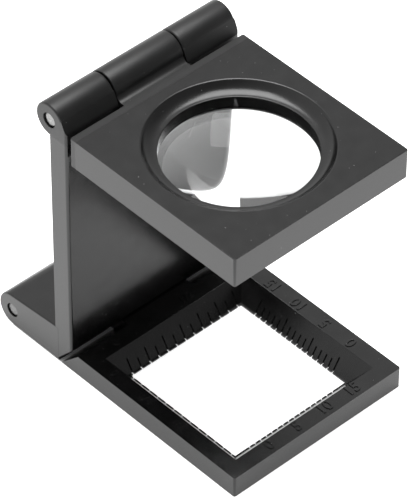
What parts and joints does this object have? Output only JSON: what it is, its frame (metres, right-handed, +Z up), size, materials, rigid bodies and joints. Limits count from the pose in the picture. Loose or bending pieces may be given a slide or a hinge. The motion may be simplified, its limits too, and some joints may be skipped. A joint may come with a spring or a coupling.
{
  "type": "folding stand magnifier",
  "caption": "Folding stand magnifier for counting threads: a lens plate on an upright stand over a base frame with a square scaled window.",
  "frame": {"origin": "middle of the footprint, on the surface the instrument rests on", "axes": "+Z up, front of the base frame towards -Y, +X to the right when looking along +Y; both hinge axes lie along X"},
  "size_m": [0.03, 0.0462, 0.0449],
  "materials": {
    "black_plastic": "satin moulded",
    "pin_steel": "cut ends, drawn sides",
    "lens_glass": "polished"
  },
  "bodies": {
    "base": {"base_frame": "black_plastic"},
    "stand": {"stand": "black_plastic", "bottom_hinge_pin": "pin_steel", "top_hinge_pin": "pin_steel"},
    "lens_holder": {"lens_plate": "black_plastic", "lens": "lens_glass", "lens_retaining_ring": "black_plastic"}
  },
  "joints": [
    {"name": "base_hinge", "type": "hinge", "parent": "stand", "child": "base", "pos_m": [0, 0.02045, 0.00265], "axis": [1, 0, 0], "range_deg": [0, 270]},
    {"name": "lens_hinge", "type": "hinge", "parent": "stand", "child": "lens_holder", "pos_m": [0, 0.0117, 0.04235], "axis": [-1, 0, 0], "range_deg": [0, 270]}
  ]
}
